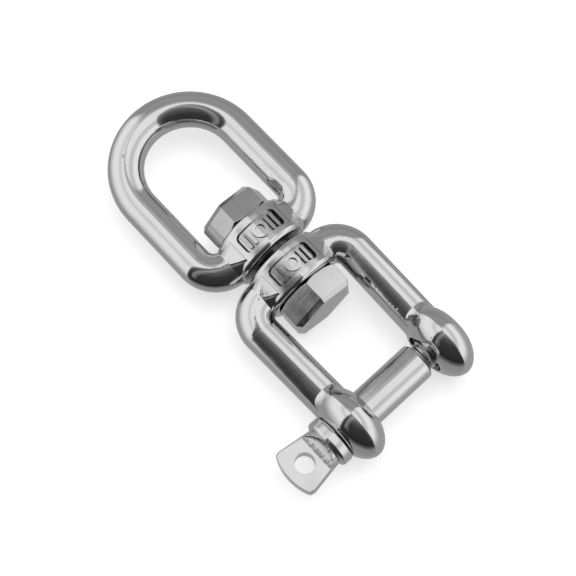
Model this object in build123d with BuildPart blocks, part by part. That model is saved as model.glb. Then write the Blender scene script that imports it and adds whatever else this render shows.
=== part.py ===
"""Anchor swivel for a 10 mm chain: a cast eye and a cast jaw turn against each other on a bolt,
and a screw pin closes the jaw.

Frame, in millimetres: the origin is on the axis of the clevis pin, midway between the ears of the jaw.
+X runs along the swivel axis from the pin towards the eye, +Y along the clevis pin towards its head,
and +Z up, square to the plane in which eye and jaw lie.
"""
from build123d import *
import math
import os

os.makedirs("parts", exist_ok=True)

# ---------------------------------------------------------------- driving dimensions
# clevis pin, a screw pin with a flattened head
pin_diameter = 10.0
pin_thread_inset = 1.0
pin_thread_height = 0.6
pin_shoulder_radius = 0.9
shoulder_gap = 2.1
thread_tip_chamfer = 0.8
collar_step = 1.6
collar_thickness = 3.6
collar_edge_radius = 1.0
tab_length = 12.0
tab_neck_inset = 1.3
tab_flare = 1.4
tab_flare_length = 9.4
tab_end_taper = 0.6
tab_thickness = 5.0
tab_corner_radius = 1.6
tab_end_radius = 14.0
tab_hole_diameter = 5.2
tab_hole_edge = 5.2
cutter_margin = 0.9

# jaw
jaw_inside = 20.6
jaw_depth = 32.4
jaw_shoulder_inside = 22.2
jaw_leg_diameter = 9.9
jaw_corner_radius = 6.2
ear_diameter = 21.0
ear_thickness = 10.0
ear_bulge = 1.2
saddle_start = 11.2
saddle_end = 7.3
saddle_rise = 2.6
saddle_taper = 0.4
saddle_shares = (0, 0.35, 0.7, 1)
spot_face_margin = 0.3
spot_face_depth = 1.0
pin_bore_clearance = 0.15
thread_clearance = 0.06
thread_mouth_step = 0.5
thread_mouth_depth = 1.2

# hubs of the jaw and of the eye
hub_diameter = 21.6
hub_height = 10.5
hub_edge_radius = 1.3
foot_height = 10.3
foot_width = 10.6
web_height = 9.6
web_reach = 3.4
web_margin = 0.2
web_middle_reach = 1.4
web_middle_flare = 1.8
web_edge_radii = (4.6, 3.4, 2.0)
swivel_gap = 1.3
hub_bore_clearance = 0.08

# eye
eye_wire_diameter = 9.45
eye_inside_width = 23.35
eye_inside_length = 34.0
eye_corner_radius = 6.8

# swivel bolt and its nut
bolt_diameter = 12.0
bearing_clearance = 0.15
head_across_flats = 16.5
head_height = 7.0
head_turn = 9.9
nut_across_flats = 17.5
nut_height = 7.25
nut_turn = 24.0
hex_chamfer = 1.2
hex_chamfer_angle = 30
hex_end_chamfer = 1.3
hex_end_angle = 40
weld_width = 1.0
weld_slope = 45

# marks cast in the hubs
panel_length = 12.4
panel_height = 5.6
panel_depth = 0.8
panel_corner_radius = 1.3
mark_height = 0.65
mark_line = 0.9
mark_size = 4.3
mark_bar_place = 3.0
mark_bar_pitch = 1.6

# ---------------------------------------------------------------- places worked out from them
ear_y = (jaw_inside + ear_thickness) / 2
ear_outer_y = jaw_inside / 2 + ear_thickness
jaw_shoulder_y = (jaw_shoulder_inside + jaw_leg_diameter) / 2
jaw_hub_low = jaw_depth
jaw_hub_mid = jaw_hub_low + hub_height / 2
jaw_hub_high = jaw_hub_low + hub_height
eye_hub_low = jaw_hub_high + swivel_gap
eye_hub_mid = eye_hub_low + hub_height / 2
eye_hub_high = eye_hub_low + hub_height
eye_leg_y = (eye_inside_width + eye_wire_diameter) / 2
bow_x = eye_hub_high + eye_inside_length - eye_inside_width / 2
head_x = eye_hub_high + bearing_clearance
nut_x = jaw_hub_low - bearing_clearance
nut_end_x = nut_x - nut_height
pin_tip_y = -ear_outer_y
pin_shoulder_y = -jaw_inside / 2 + shoulder_gap
collar_y = ear_outer_y
collar_end_y = collar_y + collar_thickness
tab_wide_y = collar_end_y + tab_flare_length
tab_tip_y = collar_end_y + tab_length
tab_hole_y = tab_tip_y - tab_hole_edge

hub_radius = hub_diameter / 2
hub_bore_radius = bolt_diameter / 2 + hub_bore_clearance
bolt_radius = bolt_diameter / 2
eye_wire_radius = eye_wire_diameter / 2
jaw_leg_radius = jaw_leg_diameter / 2
pin_radius = pin_diameter / 2
pin_thread_radius = pin_radius - pin_thread_inset
pin_core_radius = pin_thread_radius - pin_thread_height
thread_mouth_radius = pin_radius + thread_mouth_step
collar_radius = pin_radius + collar_step
tab_neck_radius = collar_radius - tab_neck_inset
tab_wide_radius = tab_neck_radius + tab_flare
cutter_radius = tab_neck_radius + cutter_margin

# the web beside each hub: (distance from the swivel axis, width), from the foot in to the hub
web_root_y = hub_radius - web_reach
web_root_width = 2 * math.sqrt(hub_radius**2 - web_root_y**2) + web_margin
web_widths = [
    (hub_radius + web_margin, foot_width - 2 * web_margin),
    (hub_radius - web_middle_reach, foot_width + web_middle_flare),
    (web_root_y, web_root_width),
]


def hub_blank(low_x):
    """Round boss about the X axis with rolled edges."""
    with BuildPart() as blank:
        with BuildSketch(Plane.XY) as profile:
            with Locations((low_x, 0)):
                Rectangle(hub_height, hub_diameter / 2, align=(Align.MIN, Align.MIN))
            fillet(profile.vertices().group_by(Axis.Y)[-1], hub_edge_radius)
        revolve(axis=Axis.X)
    return blank.part


def arm(leg_radius, leg_y, hub_mid_x, corner_radius, way):
    """Bend that carries a round leg over into the thicker foot, with a web that flares into the hub."""
    corner_x = hub_mid_x + way * corner_radius
    inner_y = leg_y - corner_radius
    leg_end = Plane(origin=(corner_x, leg_y, 0), z_dir=(-way, 0, 0), x_dir=(0, way, 0))
    foot_start = Plane(origin=(hub_mid_x, inner_y, 0), z_dir=(0, -1, 0), x_dir=(1, 0, 0))
    with BuildPart() as limb:
        with BuildSketch(foot_start):
            Ellipse(foot_height / 2, foot_width / 2)
        extrude(amount=inner_y)
        with BuildLine() as bend:
            RadiusArc((corner_x, leg_y, 0), (hub_mid_x, inner_y, 0), -way * corner_radius)
        with BuildSketch(leg_end) as leg_section:
            Circle(leg_radius)
        with BuildSketch(foot_start) as foot_section:
            Ellipse(foot_height / 2, foot_width / 2)
        sweep(sections=[leg_section.sketch, foot_section.sketch], path=bend.line, multisection=True)
    with BuildPart() as web:
        for (place_y, width), edge_radius in zip(web_widths, web_edge_radii):
            with BuildSketch(Plane(origin=(hub_mid_x, place_y, 0), z_dir=(0, -1, 0), x_dir=(1, 0, 0))):
                RectangleRounded(web_height, width, edge_radius)
        loft()
    return [limb.part, web.part]


def raised_marks(low_x):
    """Generic cast mark: a ring between two pairs of bars, on the floor of the panel in a hub."""
    middle = Plane(origin=(low_x + hub_height / 2, 0, 0), z_dir=(0, 0, 1), x_dir=(0, -1, 0))
    with BuildPart() as marks:
        with BuildSketch(middle):
            Circle(mark_size / 2)
            Circle(mark_size / 2 - mark_line, mode=Mode.SUBTRACT)
            with GridLocations(2 * mark_bar_place, 0, 2, 1):
                SlotOverall(mark_size, mark_line, rotation=90)
            with GridLocations(2 * (mark_bar_place + mark_bar_pitch), 0, 2, 1):
                SlotOverall(mark_size, mark_line, rotation=90)
        extrude(amount=hub_radius)
        with BuildSketch(Plane.YZ.offset(low_x)):
            Circle(hub_radius - panel_depth + mark_height)
            Circle(hub_radius - panel_depth - mark_height, mode=Mode.SUBTRACT)
        extrude(amount=hub_height, mode=Mode.INTERSECT)
    return marks.part


def panel_recess(low_x):
    """Shallow rounded panel sunk in the upper side of a hub."""
    middle = Plane(origin=(low_x + hub_height / 2, 0, 0), z_dir=(0, 0, 1), x_dir=(0, -1, 0))
    with BuildPart() as recess:
        with BuildSketch(middle):
            RectangleRounded(panel_length, panel_height, panel_corner_radius)
        extrude(amount=hub_diameter)
        with BuildSketch(Plane.YZ.offset(low_x)):
            Circle(hub_radius - panel_depth)
        extrude(amount=hub_height, mode=Mode.SUBTRACT)
    return recess.part


def ear(middle_y):
    """Domed disc with flat faces around the pin, turned about the pin's axis."""
    with BuildPart() as disc:
        with BuildSketch(Plane(origin=(0, middle_y, 0), x_dir=(1, 0, 0), z_dir=(0, 0, 1))):
            Ellipse(ear_diameter / 2, ear_thickness / 2 + ear_bulge)
            Rectangle(ear_diameter, ear_thickness, align=(Align.MIN, Align.CENTER), mode=Mode.INTERSECT)
        revolve(axis=Axis.Y)
    return disc.part


def ear_saddle(middle_y, leg_way):
    """Saddle that fills the corners between the top and bottom of a leg and its ear."""
    with BuildPart() as saddle:
        for share in saddle_shares:
            distance = saddle_start + share * (saddle_end - saddle_start)
            place = Vector(0, middle_y, 0) + leg_way * distance
            half_height = jaw_leg_radius - web_margin + share**2 * saddle_rise
            half_width = jaw_leg_radius - web_margin - share * saddle_taper
            with BuildSketch(Plane(origin=place, x_dir=(0, 0, 1), z_dir=leg_way)):
                Ellipse(half_height, half_width)
        loft()
    return saddle.part


def hexagon(across_flats, start_x, height, turn, way):
    """Hexagon along X from start_x, with eased corners at both ends and a chamfer round its free end."""
    corner_radius = across_flats / math.sqrt(3)
    chamfer_height = hex_chamfer * math.tan(math.radians(hex_chamfer_angle))
    with BuildPart() as prism:
        with BuildSketch(Plane(origin=(start_x, 0, 0), z_dir=(way, 0, 0), x_dir=(0, 1, 0))):
            RegularPolygon(corner_radius, 6, rotation=way * turn)
        extrude(amount=height - hex_end_chamfer)
        chamfer_x = start_x + way * (height - hex_end_chamfer)
        with BuildSketch(Plane(origin=(chamfer_x, 0, 0), z_dir=(way, 0, 0), x_dir=(0, 1, 0))):
            RegularPolygon(corner_radius, 6, rotation=way * turn)
        extrude(amount=hex_end_chamfer, taper=hex_end_angle)
        with BuildSketch(Plane(origin=(start_x, 0, 0), z_dir=(0, 0, way), x_dir=(way, 0, 0))):
            with BuildLine():
                Polyline(
                    (0, 0),
                    (0, corner_radius - hex_chamfer),
                    (chamfer_height, corner_radius),
                    (height - chamfer_height, corner_radius),
                    (height, corner_radius - hex_chamfer),
                    (height, 0),
                    close=True,
                )
            make_face()
        revolve(axis=Axis.X, mode=Mode.INTERSECT)
    return prism.part


# ---------------------------------------------------------------- eye
with BuildPart() as eye_body:
    add(hub_blank(eye_hub_low))
    for piece in arm(eye_wire_radius, eye_leg_y, eye_hub_mid, eye_corner_radius, 1):
        add(piece)
        add(mirror(piece, about=Plane.XZ))
    with BuildLine() as wire_route:
        Line((eye_hub_mid + eye_corner_radius, -eye_leg_y, 0), (bow_x, -eye_leg_y, 0))
        RadiusArc((bow_x, -eye_leg_y, 0), (bow_x + eye_leg_y, 0, 0), -eye_leg_y)
        RadiusArc((bow_x + eye_leg_y, 0, 0), (bow_x, eye_leg_y, 0), -eye_leg_y)
        Line((bow_x, eye_leg_y, 0), (eye_hub_mid + eye_corner_radius, eye_leg_y, 0))
    with BuildSketch(Plane(origin=wire_route.line @ 0, z_dir=wire_route.line % 0)):
        Circle(eye_wire_radius)
    sweep(path=wire_route.line)
    add(panel_recess(eye_hub_low), mode=Mode.SUBTRACT)
    add(raised_marks(eye_hub_low))
    with BuildSketch(Plane.YZ.offset(eye_hub_low)):
        Circle(hub_bore_radius)
    extrude(amount=hub_height, mode=Mode.SUBTRACT)
eye_body.part.label = "eye_body"
export_step(eye_body.part, "parts/eye_body.step")

# ---------------------------------------------------------------- jaw
with BuildPart() as jaw_body:
    add(hub_blank(jaw_hub_low))
    for piece in arm(jaw_leg_radius, jaw_shoulder_y, jaw_hub_mid, jaw_corner_radius, -1):
        add(piece)
        add(mirror(piece, about=Plane.XZ))
    for side in (1, -1):
        leg_foot = Vector(0, side * ear_y, 0)
        leg_head = Vector(jaw_hub_mid - jaw_corner_radius, side * jaw_shoulder_y, 0)
        with BuildSketch(Plane(origin=leg_foot, z_dir=leg_head - leg_foot)):
            Circle(jaw_leg_radius)
        extrude(amount=(leg_head - leg_foot).length)
        with Locations(leg_head):
            Sphere(jaw_leg_radius)
        add(ear_saddle(side * ear_y, (leg_head - leg_foot).normalized()))
        add(ear(side * ear_y))
    add(panel_recess(jaw_hub_low), mode=Mode.SUBTRACT)
    add(raised_marks(jaw_hub_low))
    with BuildSketch(Plane.YZ.offset(jaw_hub_low)):
        Circle(hub_bore_radius)
    extrude(amount=hub_height, mode=Mode.SUBTRACT)
    # spot face under the collar of the pin
    with BuildSketch(Plane.XZ.offset(-ear_outer_y)):
        Circle(collar_radius + spot_face_margin)
    extrude(amount=-ear_bulge - spot_face_depth, mode=Mode.SUBTRACT)
    # bore of the near ear, then the threaded hole of the far ear with its turned mouth
    with BuildSketch(Plane.XZ.offset(-ear_outer_y)):
        Circle(pin_radius + pin_bore_clearance)
    extrude(amount=ear_outer_y, mode=Mode.SUBTRACT)
    with BuildSketch(Plane.XZ):
        Circle(pin_thread_radius + thread_clearance)
    extrude(amount=ear_outer_y, mode=Mode.SUBTRACT)
    with BuildSketch(Plane.XZ):
        Circle(thread_mouth_radius)
    extrude(amount=jaw_inside / 2 + thread_mouth_depth, mode=Mode.SUBTRACT)
jaw_body.part.label = "jaw_body"
export_step(jaw_body.part, "parts/jaw_body.step")

# ---------------------------------------------------------------- swivel bolt
with BuildPart() as swivel_bolt:
    add(hexagon(head_across_flats, head_x, head_height, head_turn, 1))
    with BuildSketch(Plane.YZ.offset(nut_end_x)):
        Circle(bolt_radius)
    extrude(amount=head_x - nut_end_x)
swivel_bolt.part.label = "swivel_bolt"
export_step(swivel_bolt.part, "parts/swivel_bolt.step")

# ---------------------------------------------------------------- nut inside the jaw
with BuildPart() as swivel_nut:
    add(hexagon(nut_across_flats, nut_x, nut_height, nut_turn, -1))
    with BuildSketch(Plane.YZ.offset(nut_end_x)):
        Circle(bolt_radius)
    extrude(amount=nut_height, mode=Mode.SUBTRACT)
    with BuildSketch(Plane.YZ.offset(nut_end_x)):
        Circle(bolt_radius + weld_width)
    extrude(amount=weld_width, taper=weld_slope, mode=Mode.SUBTRACT)
swivel_nut.part.label = "swivel_nut"
export_step(swivel_nut.part, "parts/swivel_nut.step")

# ---------------------------------------------------------------- weld that locks the nut to the bolt
with BuildPart() as lock_weld:
    with BuildSketch(Plane.YZ.offset(nut_end_x)):
        Circle(bolt_radius + weld_width)
    extrude(amount=weld_width, taper=weld_slope)
    with BuildSketch(Plane.YZ.offset(nut_end_x)):
        Circle(bolt_radius)
    extrude(amount=weld_width, mode=Mode.SUBTRACT)
lock_weld.part.label = "lock_weld"
export_step(lock_weld.part, "parts/lock_weld.step")

# ---------------------------------------------------------------- clevis pin
with BuildPart() as clevis_pin:
    with BuildSketch(Plane.XY) as half_section:
        with BuildLine():
            Polyline(
                (0, pin_tip_y),
                (pin_core_radius - thread_tip_chamfer, pin_tip_y),
                (pin_core_radius, pin_tip_y + thread_tip_chamfer),
                (pin_core_radius, pin_shoulder_y),
                (pin_radius, pin_shoulder_y),
                (pin_radius, collar_y),
                (collar_radius, collar_y),
                (collar_radius, collar_end_y),
                (tab_neck_radius, collar_end_y),
                (tab_wide_radius, tab_wide_y),
                (tab_wide_radius - tab_end_taper, tab_tip_y),
                (0, tab_tip_y),
                close=True,
            )
        make_face()
        for corner, radius in (
            ((pin_radius, pin_shoulder_y), pin_shoulder_radius),
            ((collar_radius, collar_y), collar_edge_radius),
            ((collar_radius, collar_end_y), collar_edge_radius),
            ((tab_wide_radius, tab_wide_y), tab_corner_radius),
        ):
            fillet(half_section.vertices().sort_by_distance(corner)[0], radius)
    revolve(axis=Axis.Y)
    # rounded end of the tab
    with BuildSketch(Plane.XY):
        with Locations((0, tab_tip_y - tab_end_radius)):
            Circle(tab_end_radius)
        with Locations((0, pin_tip_y)):
            Rectangle(4 * tab_wide_radius, tab_wide_y - pin_tip_y, align=(Align.CENTER, Align.MIN))
    extrude(amount=2 * tab_wide_radius, both=True, mode=Mode.INTERSECT)
    # flats milled on both sides, with the round end of the cutter towards the collar
    for side in (1, -1):
        with BuildSketch(Plane.XY.offset(side * tab_thickness / 2)):
            with Locations((0, collar_end_y + cutter_radius)):
                Circle(cutter_radius)
            with Locations((0, collar_end_y + cutter_radius)):
                Rectangle(4 * tab_wide_radius, 2 * tab_length, align=(Align.CENTER, Align.MIN))
        extrude(amount=side * 2 * tab_wide_radius, mode=Mode.SUBTRACT)
    with Locations((0, tab_hole_y, 0)):
        Hole(tab_hole_diameter / 2)
clevis_pin.part.label = "clevis_pin"
export_step(clevis_pin.part, "parts/clevis_pin.step")
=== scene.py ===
"""Looks of a jaw-and-eye anchor swivel in polished stainless steel, lying on a pale table in a light tent.

The six CAD pieces keep their shapes and get their finishes here: the two mirror polished castings, the
machined bolt and nut, the dressed weld between them, and the turned pin with its milled tab. The thread of the
pin is made here, around the core that the CAD gives it.
"""
import math

import bpy
import numpy as np
from mathutils import Matrix, Vector


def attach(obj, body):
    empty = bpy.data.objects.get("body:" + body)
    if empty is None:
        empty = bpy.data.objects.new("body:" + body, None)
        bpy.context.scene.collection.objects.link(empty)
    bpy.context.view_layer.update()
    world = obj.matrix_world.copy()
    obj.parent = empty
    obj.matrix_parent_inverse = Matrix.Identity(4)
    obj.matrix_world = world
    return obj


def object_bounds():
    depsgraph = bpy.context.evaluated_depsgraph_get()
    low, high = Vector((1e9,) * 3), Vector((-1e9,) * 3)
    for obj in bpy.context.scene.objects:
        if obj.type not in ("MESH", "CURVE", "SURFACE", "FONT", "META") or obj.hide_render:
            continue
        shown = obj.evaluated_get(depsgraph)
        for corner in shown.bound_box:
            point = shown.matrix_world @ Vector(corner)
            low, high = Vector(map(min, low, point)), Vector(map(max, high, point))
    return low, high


MM = 0.001

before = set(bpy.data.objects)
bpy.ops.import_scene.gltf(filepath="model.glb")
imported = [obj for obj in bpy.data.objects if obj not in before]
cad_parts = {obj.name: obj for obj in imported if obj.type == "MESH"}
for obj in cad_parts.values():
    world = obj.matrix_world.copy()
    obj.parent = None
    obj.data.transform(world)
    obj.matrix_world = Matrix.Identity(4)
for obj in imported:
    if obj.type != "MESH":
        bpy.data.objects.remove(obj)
cad_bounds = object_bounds()
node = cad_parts


# ---------------------------------------------------------------- node building
def put(tree, kind, **settings):
    """Adds a node of one kind to a tree, sets its properties, and returns it."""
    made = tree.nodes.new(kind)
    for key, value in settings.items():
        setattr(made, key, value)
    return made


def feed(tree, source, socket):
    """Joins an output, or a plain value, to an input socket."""
    if isinstance(source, bpy.types.NodeSocket):
        tree.links.new(source, socket)
    else:
        socket.default_value = source


def calc(tree, operation, first, second=0.0, third=None):
    """One Math node; its inputs are outputs of other nodes or plain numbers."""
    made = put(tree, "ShaderNodeMath", operation=operation)
    feed(tree, first, made.inputs[0])
    feed(tree, second, made.inputs[1])
    if third is not None:
        feed(tree, third, made.inputs[2])
    return made.outputs[0]


def ease(tree, value, low, high, start=0.0, end=1.0):
    """Smooth step of a value between low and high, from start to end."""
    made = put(tree, "ShaderNodeMapRange", interpolation_type="SMOOTHSTEP")
    for socket, source in zip(made.inputs, (value, low, high, start, end)):
        feed(tree, source, socket)
    return made.outputs[0]


def blend_tone(tree, share, first, second):
    """Mixes two tones, grey numbers or outputs, by a share from 0 to 1."""
    made = put(tree, "ShaderNodeMix", data_type="FLOAT")
    for socket, source in zip(made.inputs[:1] + made.inputs[2:4], (share, first, second)):
        feed(tree, source, socket)
    return made.outputs[0]


def noise(tree, vector, scale, detail=2.0, roughness=0.5):
    """Noise of about 1/scale metres, from 0 to 1."""
    made = put(tree, "ShaderNodeTexNoise")
    feed(tree, vector, made.inputs["Vector"])
    for key, value in (("Scale", scale), ("Detail", detail), ("Roughness", roughness)):
        feed(tree, value, made.inputs[key])
    return made.outputs["Fac"]


def stretch(tree, vector, scale):
    """Multiplies a place by a vector, so that noise on it is drawn out along the small components."""
    made = put(tree, "ShaderNodeVectorMath", operation="MULTIPLY")
    feed(tree, vector, made.inputs[0])
    feed(tree, scale, made.inputs[1])
    return made.outputs[0]


def group(name, inputs, outputs):
    """Empty shader group with named sockets; returns its tree, its inputs by name and its output node."""
    tree = bpy.data.node_groups.new(name, "ShaderNodeTree")
    for label, kind, value in inputs:
        socket = tree.interface.new_socket(label, in_out="INPUT", socket_type=kind)
        socket.default_value = value
    for label in outputs:
        tree.interface.new_socket(label, in_out="OUTPUT", socket_type="NodeSocketFloat")
    entry = put(tree, "NodeGroupInput")
    leave = put(tree, "NodeGroupOutput")
    return tree, entry.outputs, leave.inputs


def use(tree, shared, **values):
    """Places a group in a material with its own values; underscores in a name stand for spaces."""
    made = put(tree, "ShaderNodeGroup", node_tree=shared)
    for key, value in values.items():
        feed(tree, value, made.inputs[key.replace("_", " ")])
    return made.outputs


FLOAT = "NodeSocketFloat"
VECTOR = "NodeSocketVector"


def buffing_waves():
    """Unevenness that buffing leaves on a casting: broad swells of some millimetres, with finer ripple."""
    inputs = [("Place", VECTOR, (0, 0, 0)), ("Swell", FLOAT, 220.0), ("Ripple", FLOAT, 1100.0),
              ("Share", FLOAT, 0.2)]
    tree, given, out = group("buffing waves", inputs, ["Height"])
    swell = noise(tree, given["Place"], given["Swell"], 1.0)
    ripple = noise(tree, given["Place"], given["Ripple"], 2.0)
    feed(tree, blend_tone(tree, given["Share"], swell, ripple), out["Height"])
    return tree


def polishing_lines():
    """Hairlines along the direction in which the stretch is small, in patches."""
    inputs = [("Place", VECTOR, (0, 0, 0)), ("Stretch", VECTOR, (1, 1, 1)), ("Patches", FLOAT, 120.0)]
    tree, given, out = group("polishing lines", inputs, ["Height", "Mask"])
    drawn = stretch(tree, given["Place"], given["Stretch"])
    lines = noise(tree, drawn, 1.0, 3.0, 0.65)
    patches = ease(tree, noise(tree, given["Place"], given["Patches"], 2.0), 0.38, 0.66)
    feed(tree, calc(tree, "MULTIPLY", lines, patches), out["Height"])
    feed(tree, calc(tree, "MULTIPLY", ease(tree, lines, 0.5, 0.75), patches), out["Mask"])
    return tree


def casting_pits():
    """Small round pits, some tenths of a millimetre wide, where the mask Where allows them."""
    inputs = [("Place", VECTOR, (0, 0, 0)), ("Where", FLOAT, 1.0), ("Size", FLOAT, 900.0)]
    tree, given, out = group("casting pits", inputs, ["Depth", "Mask"])
    cells = put(tree, "ShaderNodeTexVoronoi", feature="F1")
    feed(tree, given["Place"], cells.inputs["Vector"])
    feed(tree, given["Size"], cells.inputs["Scale"])
    dot = ease(tree, cells.outputs["Distance"], 0.12, 0.34, 1.0, 0.0)
    pick = put(tree, "ShaderNodeSeparateColor")
    feed(tree, cells.outputs["Color"], pick.inputs[0])
    rare = ease(tree, pick.outputs[0], 0.62, 0.72)
    spread = ease(tree, noise(tree, given["Place"], 260.0, 2.0), 0.42, 0.6)
    allowed = calc(tree, "MULTIPLY", spread, given["Where"])
    pit = calc(tree, "MULTIPLY", calc(tree, "MULTIPLY", dot, rare), allowed)
    feed(tree, pit, out["Depth"])
    feed(tree, ease(tree, pit, 0.15, 0.6), out["Mask"])
    return tree


def handling():
    """Traces of hands and cloth: soft smears, and fine dust specks."""
    inputs = [("Place", VECTOR, (0, 0, 0)), ("Smear", FLOAT, 90.0)]
    tree, given, out = group("handling", inputs, ["Smear", "Specks"])
    smear = noise(tree, stretch(tree, given["Place"], (1.0, 1.7, 1.3)), given["Smear"], 4.0, 0.6)
    feed(tree, ease(tree, smear, 0.45, 0.78), out["Smear"])
    feed(tree, ease(tree, noise(tree, given["Place"], 5200.0, 1.0), 0.71, 0.8), out["Specks"])
    return tree


def turned_rings():
    """Fine grooves round an axis, from the distance to it: the marks of facing in a lathe."""
    inputs = [("Place", VECTOR, (0, 0, 0)), ("Across", VECTOR, (0, 1, 1)), ("Pitch", FLOAT, 4000.0)]
    tree, given, out = group("turned rings", inputs, ["Height"])
    across = stretch(tree, given["Place"], given["Across"])
    length = put(tree, "ShaderNodeVectorMath", operation="LENGTH")
    feed(tree, across, length.inputs[0])
    on_a_line = put(tree, "ShaderNodeCombineXYZ")
    feed(tree, length.outputs["Value"], on_a_line.inputs[0])
    feed(tree, noise(tree, on_a_line.outputs[0], given["Pitch"], 2.0, 0.6), out["Height"])
    return tree


BUFFING = buffing_waves()
LINES = polishing_lines()
PITS = casting_pits()
HANDLING = handling()
RINGS = turned_rings()


# ---------------------------------------------------------------- finishes
def steel(name):
    """Material with a metal shader; returns it with its tree, the place on the piece and the shader."""
    made = bpy.data.materials.new(name)
    made.use_nodes = True
    tree = made.node_tree
    shader = tree.nodes["Principled BSDF"]
    shader.inputs["Metallic"].default_value = 1.0
    place = put(tree, "ShaderNodeTexCoord").outputs["Object"]
    return made, tree, place, shader


def grey(tree, value, shader):
    """Feeds a grey that varies over the surface to the base colour."""
    made = put(tree, "ShaderNodeCombineColor")
    for socket in made.inputs:
        feed(tree, value, socket)
    feed(tree, made.outputs[0], shader.inputs["Base Color"])


def relief(tree, height, distance, normal=None):
    """Bump of a height in metres per unit, over an earlier normal."""
    made = put(tree, "ShaderNodeBump")
    made.inputs["Strength"].default_value = 1.0
    made.inputs["Distance"].default_value = distance
    feed(tree, height, made.inputs["Height"])
    if normal is not None:
        feed(tree, normal, made.inputs["Normal"])
    return made.outputs[0]


def painted_crevice_shade(tree, reach):
    """Share of the surface close by that closes a corner in: 0 in the open, 1 deep in a crevice. The finishes
    darken their base colour by it, as painted shade in corners, recesses and gaps between parts.
    """
    made = put(tree, "ShaderNodeAmbientOcclusion", samples=6, only_local=False)
    made.inputs["Distance"].default_value = reach
    return ease(tree, made.outputs["AO"], 0.12, 0.55, 1.0, 0.0)


def broken_edge(tree, radius):
    """Normal of an edge that has been rounded a little, for crisp machined corners."""
    made = put(tree, "ShaderNodeBevel", samples=6)
    made.inputs["Radius"].default_value = radius
    return made.outputs[0]


def cast_finish(name, joint_y, pit_share, swell):
    """Mirror polished casting: buffing waves, faint lines along the legs, and pits at joint_y, where the feet
    meet the hub."""
    made, tree, place, shader = steel(name)
    waves = use(tree, BUFFING, Place=place, Swell=swell, Ripple=900.0, Share=0.16)["Height"]
    lines = use(tree, LINES, Place=place, Stretch=(120.0, 2200.0, 2200.0), Patches=140.0)
    axis = put(tree, "ShaderNodeSeparateXYZ")
    feed(tree, place, axis.inputs[0])
    from_joint = calc(tree, "SUBTRACT", calc(tree, "ABSOLUTE", axis.outputs[1]), joint_y)
    from_joint = calc(tree, "ABSOLUTE", from_joint)
    near_joint = ease(tree, from_joint, 0.5 * MM, 2.6 * MM, 1.0, 0.0)
    pits = use(tree, PITS, Place=place, Where=calc(tree, "MULTIPLY", near_joint, pit_share), Size=850.0)
    hands = use(tree, HANDLING, Place=place, Smear=85.0)
    rough = calc(tree, "MULTIPLY_ADD", hands["Smear"], 0.05, 0.085)
    rough = calc(tree, "MULTIPLY_ADD", lines["Mask"], 0.05, rough)
    rough = calc(tree, "MULTIPLY_ADD", pits["Mask"], 0.25, rough)
    feed(tree, calc(tree, "MULTIPLY_ADD", hands["Specks"], 0.12, rough), shader.inputs["Roughness"])
    tone = calc(tree, "MULTIPLY_ADD", hands["Smear"], -0.03, 0.64)
    # painted shade: the grey darkens where nearby surfaces close in, at the leg and hub junctions and in the gap
    # between the hubs
    tone = calc(tree, "MULTIPLY_ADD", painted_crevice_shade(tree, 2.6 * MM), -0.56, tone)
    grey(tree, calc(tree, "MULTIPLY_ADD", pits["Mask"], -0.16, tone), shader)
    normal = relief(tree, waves, 0.02 * MM)
    normal = relief(tree, lines["Height"], 0.007 * MM, normal)
    sunk = calc(tree, "MULTIPLY", pits["Depth"], -1.0)
    feed(tree, relief(tree, sunk, 0.05 * MM, normal), shader.inputs["Normal"])
    return made


def hexagon_finish(name, tone, rough_base, edge, end_x):
    """Machined and polished hexagon: faint grinding lines on the flats, facing rings on the end face at end_x,
    and corners eased by a radius of edge."""
    made, tree, place, shader = steel(name)
    lines = use(tree, LINES, Place=place, Stretch=(3200.0, 90.0, 90.0), Patches=170.0)
    rings = use(tree, RINGS, Place=place, Across=(0.0, 1.0, 1.0), Pitch=3800.0)["Height"]
    axis = put(tree, "ShaderNodeSeparateXYZ")
    feed(tree, place, axis.inputs[0])
    from_end = calc(tree, "ABSOLUTE", calc(tree, "SUBTRACT", axis.outputs[0], end_x))
    end_face = ease(tree, from_end, 0.02 * MM, 0.12 * MM, 1.0, 0.0)
    waves = use(tree, BUFFING, Place=place, Swell=160.0, Ripple=700.0, Share=0.1)["Height"]
    hands = use(tree, HANDLING, Place=place, Smear=130.0)
    rough = calc(tree, "MULTIPLY_ADD", lines["Mask"], 0.06, rough_base)
    feed(tree, calc(tree, "MULTIPLY_ADD", hands["Smear"], 0.06, rough), shader.inputs["Roughness"])
    # painted shade: the grey darkens by up to 80 percent where nearby surfaces close in, at the hexagons' chamfers
    # and beside the hubs
    tone = calc(tree, "MULTIPLY_ADD", painted_crevice_shade(tree, 4.0 * MM), -0.8 * tone, tone)
    grey(tree, calc(tree, "MULTIPLY_ADD", hands["Smear"], -0.035, tone), shader)
    marks = blend_tone(tree, end_face, lines["Height"], rings)
    normal = relief(tree, waves, 0.02 * MM, broken_edge(tree, edge))
    feed(tree, relief(tree, marks, 0.0022 * MM, normal), shader.inputs["Normal"])
    return made


def weld_finish():
    """Weld ground flush with the nut: a little duller, with a trace of its ripples."""
    made, tree, place, shader = steel("dressed weld")
    rings = use(tree, RINGS, Place=place, Across=(0.0, 1.0, 1.0), Pitch=2600.0)["Height"]
    hands = use(tree, HANDLING, Place=place, Smear=420.0)
    feed(tree, calc(tree, "MULTIPLY_ADD", hands["Smear"], 0.15, 0.22), shader.inputs["Roughness"])
    grey(tree, calc(tree, "MULTIPLY_ADD", hands["Smear"], -0.1, 0.58), shader)
    ripples = noise(tree, place, 900.0, 2.0)
    normal = relief(tree, ripples, 0.03 * MM)
    feed(tree, relief(tree, rings, 0.004 * MM, normal), shader.inputs["Normal"])
    return made


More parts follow.
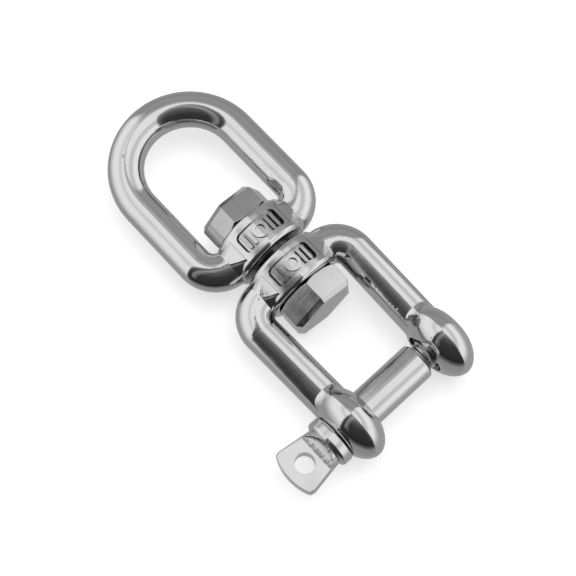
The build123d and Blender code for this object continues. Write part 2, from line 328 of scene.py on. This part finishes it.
def pin_finish(name, collar_end):
    """Turned and polished pin: fine rings round its axis, and cutter marks on the tab beside the collar, whose
    outer face is at collar_end."""
    made, tree, place, shader = steel(name)
    rings = use(tree, LINES, Place=place, Stretch=(70.0, 3600.0, 70.0), Patches=110.0)
    strokes = noise(tree, stretch(tree, place, (1500.0, 60.0, 1500.0)), 1.0, 2.0, 0.5)
    axis = put(tree, "ShaderNodeSeparateXYZ")
    feed(tree, place, axis.inputs[0])
    along = axis.outputs[1]
    beside_collar = calc(tree, "MULTIPLY", ease(tree, along, collar_end - 0.4 * MM, collar_end + 0.3 * MM),
                         ease(tree, along, collar_end + 1.6 * MM, collar_end + 3.4 * MM, 1.0, 0.0))
    waves = use(tree, BUFFING, Place=place, Swell=190.0, Ripple=800.0, Share=0.15)["Height"]
    hands = use(tree, HANDLING, Place=place, Smear=120.0)
    rough = calc(tree, "MULTIPLY_ADD", rings["Mask"], 0.06, 0.09)
    rough = calc(tree, "MULTIPLY_ADD", beside_collar, 0.12, rough)
    feed(tree, calc(tree, "MULTIPLY_ADD", hands["Smear"], 0.05, rough), shader.inputs["Roughness"])
    # painted shade: the grey darkens where nearby surfaces close in, at the collar, the ears and the tab
    tone = calc(tree, "MULTIPLY_ADD", painted_crevice_shade(tree, 3.6 * MM), -0.56, 0.64)
    grey(tree, calc(tree, "MULTIPLY_ADD", hands["Smear"], -0.03, tone), shader)
    normal = relief(tree, waves, 0.018 * MM, broken_edge(tree, 0.2 * MM))
    normal = relief(tree, rings["Height"], 0.0012 * MM, normal)
    cut = calc(tree, "MULTIPLY", strokes, beside_collar)
    feed(tree, relief(tree, cut, 0.16 * MM, normal), shader.inputs["Normal"])
    return made


def thread_finish():
    """Rolled thread: a little duller than the shank, with fine lines round it."""
    made, tree, place, shader = steel("rolled thread")
    rings = use(tree, LINES, Place=place, Stretch=(60.0, 5200.0, 60.0), Patches=160.0)
    hands = use(tree, HANDLING, Place=place, Smear=260.0)
    feed(tree, calc(tree, "MULTIPLY_ADD", hands["Smear"], 0.12, 0.16), shader.inputs["Roughness"])
    grey(tree, calc(tree, "MULTIPLY_ADD", hands["Smear"], -0.06, 0.6), shader)
    feed(tree, relief(tree, rings["Height"], 0.002 * MM), shader.inputs["Normal"])
    return made


def dress(piece, material):
    """Gives a piece one material in every slot it has."""
    for slot in piece.material_slots:
        slot.material = material
    if not piece.material_slots:
        piece.data.materials.append(material)


JOINT_Y = 11.6 * MM
COLLAR_END = 23.9 * MM
HEAD_END = 61.85 * MM
NUT_END = 25.0 * MM
dress(node["eye_body"], cast_finish("eye casting", JOINT_Y, 1.0, 230.0))
dress(node["jaw_body"], cast_finish("jaw casting", JOINT_Y, 0.6, 210.0))
dress(node["swivel_bolt"], hexagon_finish("machined bolt", 0.54, 0.1, 0.25 * MM, HEAD_END))
dress(node["swivel_nut"], hexagon_finish("machined nut", 0.6, 0.11, 0.3 * MM, NUT_END))
dress(node["lock_weld"], weld_finish())
dress(node["clevis_pin"], pin_finish("turned pin", COLLAR_END))


# ---------------------------------------------------------------- thread of the pin
def closed_surface(name, rings):
    """Mesh of a closed tube: rings is an array (rings, points, 3) of sections in order, and each end is closed
    to the middle of its section. The rings turn so that the faces point outwards."""
    count, around, _ = rings.shape
    row = np.arange(count - 1)[:, None] * around
    step = np.arange(around)[None, :]
    ahead = (step + 1) % around
    corners = [row + step, row + around + step, row + around + ahead, row + ahead]
    quads = np.stack(corners, -1).reshape(-1, 4)
    middles = np.stack([rings[0].mean(0), rings[-1].mean(0)])
    first, last = count * around, count * around + 1
    edge, edge_ahead = np.arange(around), (np.arange(around) + 1) % around
    start_cap = np.stack([edge, edge_ahead, np.full(around, first)], -1)
    end_row = (count - 1) * around
    end_cap = np.stack([end_row + edge_ahead, end_row + edge, np.full(around, last)], -1)
    points = np.vstack([rings.reshape(-1, 3), middles])
    mesh = bpy.data.meshes.new(name)
    mesh.from_pydata(points.tolist(), [], quads.tolist() + start_cap.tolist() + end_cap.tolist())
    mesh.update()
    piece = bpy.data.objects.new(name, mesh)
    bpy.context.scene.collection.objects.link(piece)
    return piece


def pin_thread(start_y, end_y, core, crest, pitch, run_out):
    """Thread around +Y: the radius is core + depth * profile(phase), where phase = y / pitch - angle / full
    turn, and the profile is a trapezium, flat on crest and root. The depth fades out over run_out at both ends."""
    turns_per_ring = 26
    around = 96
    count = int((end_y - start_y) / pitch * turns_per_ring)
    y = np.linspace(start_y, end_y, count)[:, None]
    angle = np.linspace(0, 2 * math.pi, around, endpoint=False)[None, :]
    phase = (y / pitch - angle / (2 * math.pi)) % 1.0
    triangle = 1 - np.abs(2 * phase - 1)
    profile = np.clip((triangle - 0.12) / 0.72, 0, 1)
    fade = np.clip(np.minimum(y - start_y, end_y - y) / run_out, 0, 1)
    radius = core + (crest - core) * profile * fade
    rings = np.stack([radius * np.cos(angle), y + 0 * angle, radius * np.sin(angle)], -1)
    return closed_surface("pin_thread", rings)


thread = pin_thread(start_y=-19.4 * MM, end_y=-8.4 * MM, core=3.415 * MM, crest=4.0 * MM, pitch=1.25 * MM,
                    run_out=0.9 * MM)
dress(thread, thread_finish())
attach(thread, "pin")


# ---------------------------------------------------------------- table, light tent and camera
def table(height):
    """Pale matt table top at a height, of paper lit a little from behind, so that shadows stay light."""
    half = 2.5
    mesh = bpy.data.meshes.new("table_top")
    corners = [(-half, -half, height), (half, -half, height), (half, half, height), (-half, half, height)]
    mesh.from_pydata(corners, [], [(0, 1, 2, 3)])
    top = bpy.data.objects.new("table_top", mesh)
    bpy.context.scene.collection.objects.link(top)
    made = bpy.data.materials.new("matt table paper")
    made.use_nodes = True
    tree = made.node_tree
    shader = tree.nodes["Principled BSDF"]
    shader.inputs["Roughness"].default_value = 0.9
    shader.inputs["Specular IOR Level"].default_value = 0.1
    place = put(tree, "ShaderNodeTexCoord").outputs["Object"]
    grey(tree, calc(tree, "MULTIPLY_ADD", noise(tree, place, 30.0, 3.0), 0.01, 0.62), shader)
    shader.inputs["Emission Color"].default_value = (1, 1, 1, 1)
    shader.inputs["Emission Strength"].default_value = 0.56
    mesh.materials.append(made)
    top.visible_glossy = False


def tones_by_height(tree, height, stops):
    """Tone of one wall of the tent from the floor (-1) to the top (1), as a ramp."""
    ramp = put(tree, "ShaderNodeValToRGB")
    ramp.color_ramp.interpolation = "EASE"
    points = ramp.color_ramp.elements
    while len(points) < len(stops):
        points.new(0.5)
    for point, (where, tone) in zip(points, stops):
        point.position = (where + 1) / 2
        point.color = (tone, tone, tone, 1)
    feed(tree, height, ramp.inputs[0])
    return ramp.outputs[0]


def light_tent():
    """Soft tent of four walls that meet over the swivel: bright to the north east and south west, grey to the
    south east, black to the north west, with pale strips along the black wall's edges. The camera sees a plain
    pale backdrop instead of the tent."""
    world = bpy.data.worlds.new("light tent")
    bpy.context.scene.world = world
    world.use_nodes = True
    world.cycles.sampling_method = "NONE"
    tree = world.node_tree
    light = tree.nodes["Background"]
    way = put(tree, "ShaderNodeSeparateXYZ")
    feed(tree, put(tree, "ShaderNodeTexCoord").outputs["Generated"], way.inputs[0])
    x, y, z = way.outputs
    east = calc(tree, "MULTIPLY_ADD", z, -0.18, x)
    east = calc(tree, "MULTIPLY_ADD", calc(tree, "ABSOLUTE", y), -0.12, east)
    north = calc(tree, "MULTIPLY_ADD", z, 0.15, y)
    north = calc(tree, "MULTIPLY_ADD", calc(tree, "ABSOLUTE", x), 0.13, north)
    height = calc(tree, "MULTIPLY_ADD", z, 0.5, 0.5)
    bright_east = tones_by_height(tree, height, [(-1, 0.34), (-0.4, 0.34), (-0.2, 0.52), (0.1, 0.8),
                                                 (0.35, 0.92), (0.65, 0.9), (0.8, 0.7), (0.93, 0.9)])
    grey_east = tones_by_height(tree, height, [(-1, 0.34), (-0.4, 0.33), (-0.12, 0.29), (0.0, 0.28),
                                               (0.5, 0.33), (0.78, 0.3), (0.9, 0.46), (1, 0.55)])
    bright_west = tones_by_height(tree, height, [(-1, 0.34), (-0.35, 0.38), (-0.1, 0.6), (0.12, 0.92),
                                                 (0.45, 0.96), (0.62, 0.7), (0.76, 0.6), (0.9, 0.9)])
    black_wall = tones_by_height(tree, height, [(-1, 0.32), (-0.5, 0.28), (-0.35, 0.12), (-0.2, 0.025),
                                                (0.3, 0.035), (0.65, 0.042), (0.9, 0.09), (1, 0.18)])
    strip_inner = ease(tree, east, -0.14, -0.1, 0.2, 0.0)
    strip_east = calc(tree, "MULTIPLY", ease(tree, east, -0.34, -0.16), strip_inner)
    strip_north = ease(tree, north, 0.12, 0.3, 0.07, 0.0)
    above = ease(tree, z, 0.0, 0.3)
    strips = calc(tree, "MULTIPLY", calc(tree, "MAXIMUM", strip_east, strip_north), above)
    dark = calc(tree, "ADD", black_wall, strips)
    west_side = blend_tone(tree, ease(tree, north, 0.07, 0.12), bright_west, dark)
    east_side = blend_tone(tree, ease(tree, north, -0.02, 0.06), grey_east, bright_east)
    tent = blend_tone(tree, ease(tree, east, -0.005, 0.045), west_side, east_side)
    seen = put(tree, "ShaderNodeLightPath").outputs["Is Camera Ray"]
    feed(tree, blend_tone(tree, seen, tent, 0.8), light.inputs["Color"])
    light.inputs["Strength"].default_value = 1.25


def soft_light(name, place, aim, size, power):
    """Square soft box that lights the table; the steel mirrors the tent alone."""
    data = bpy.data.lights.new(name, "AREA")
    data.size = size
    data.energy = power
    lamp = bpy.data.objects.new(name, data)
    lamp.location = place
    lamp.rotation_euler = (Vector(aim) - Vector(place)).to_track_quat("-Z", "Y").to_euler()
    lamp.visible_glossy = False
    lamp.visible_camera = False
    bpy.context.scene.collection.objects.link(lamp)


def camera():
    """Camera above the pin's side of the swivel, looking down at about 74 degrees."""
    right = Vector((-0.6785, -0.7345, 0.0083))
    back = Vector((-0.1991, 0.1948, 0.9604)).normalized()
    up = back.cross(right).normalized()
    right = up.cross(back)
    data = bpy.data.cameras.new("table camera")
    data.sensor_width = 36
    data.lens = 83.53
    data.clip_start = 0.01
    made = bpy.data.objects.new("table camera", data)
    turn = Matrix((right, up, back)).transposed().to_4x4()
    made.matrix_world = Matrix.Translation((-0.03158, 0.06905, 0.3248)) @ turn
    bpy.context.scene.collection.objects.link(made)
    bpy.context.scene.camera = made


table(cad_bounds[0][2])
light_tent()
soft_light("soft box over the table", (0.1, -0.15, 1.3), (0.03, 0, 0), 0.9, 7.0)
camera()
bpy.context.scene.view_settings.view_transform = "Standard"
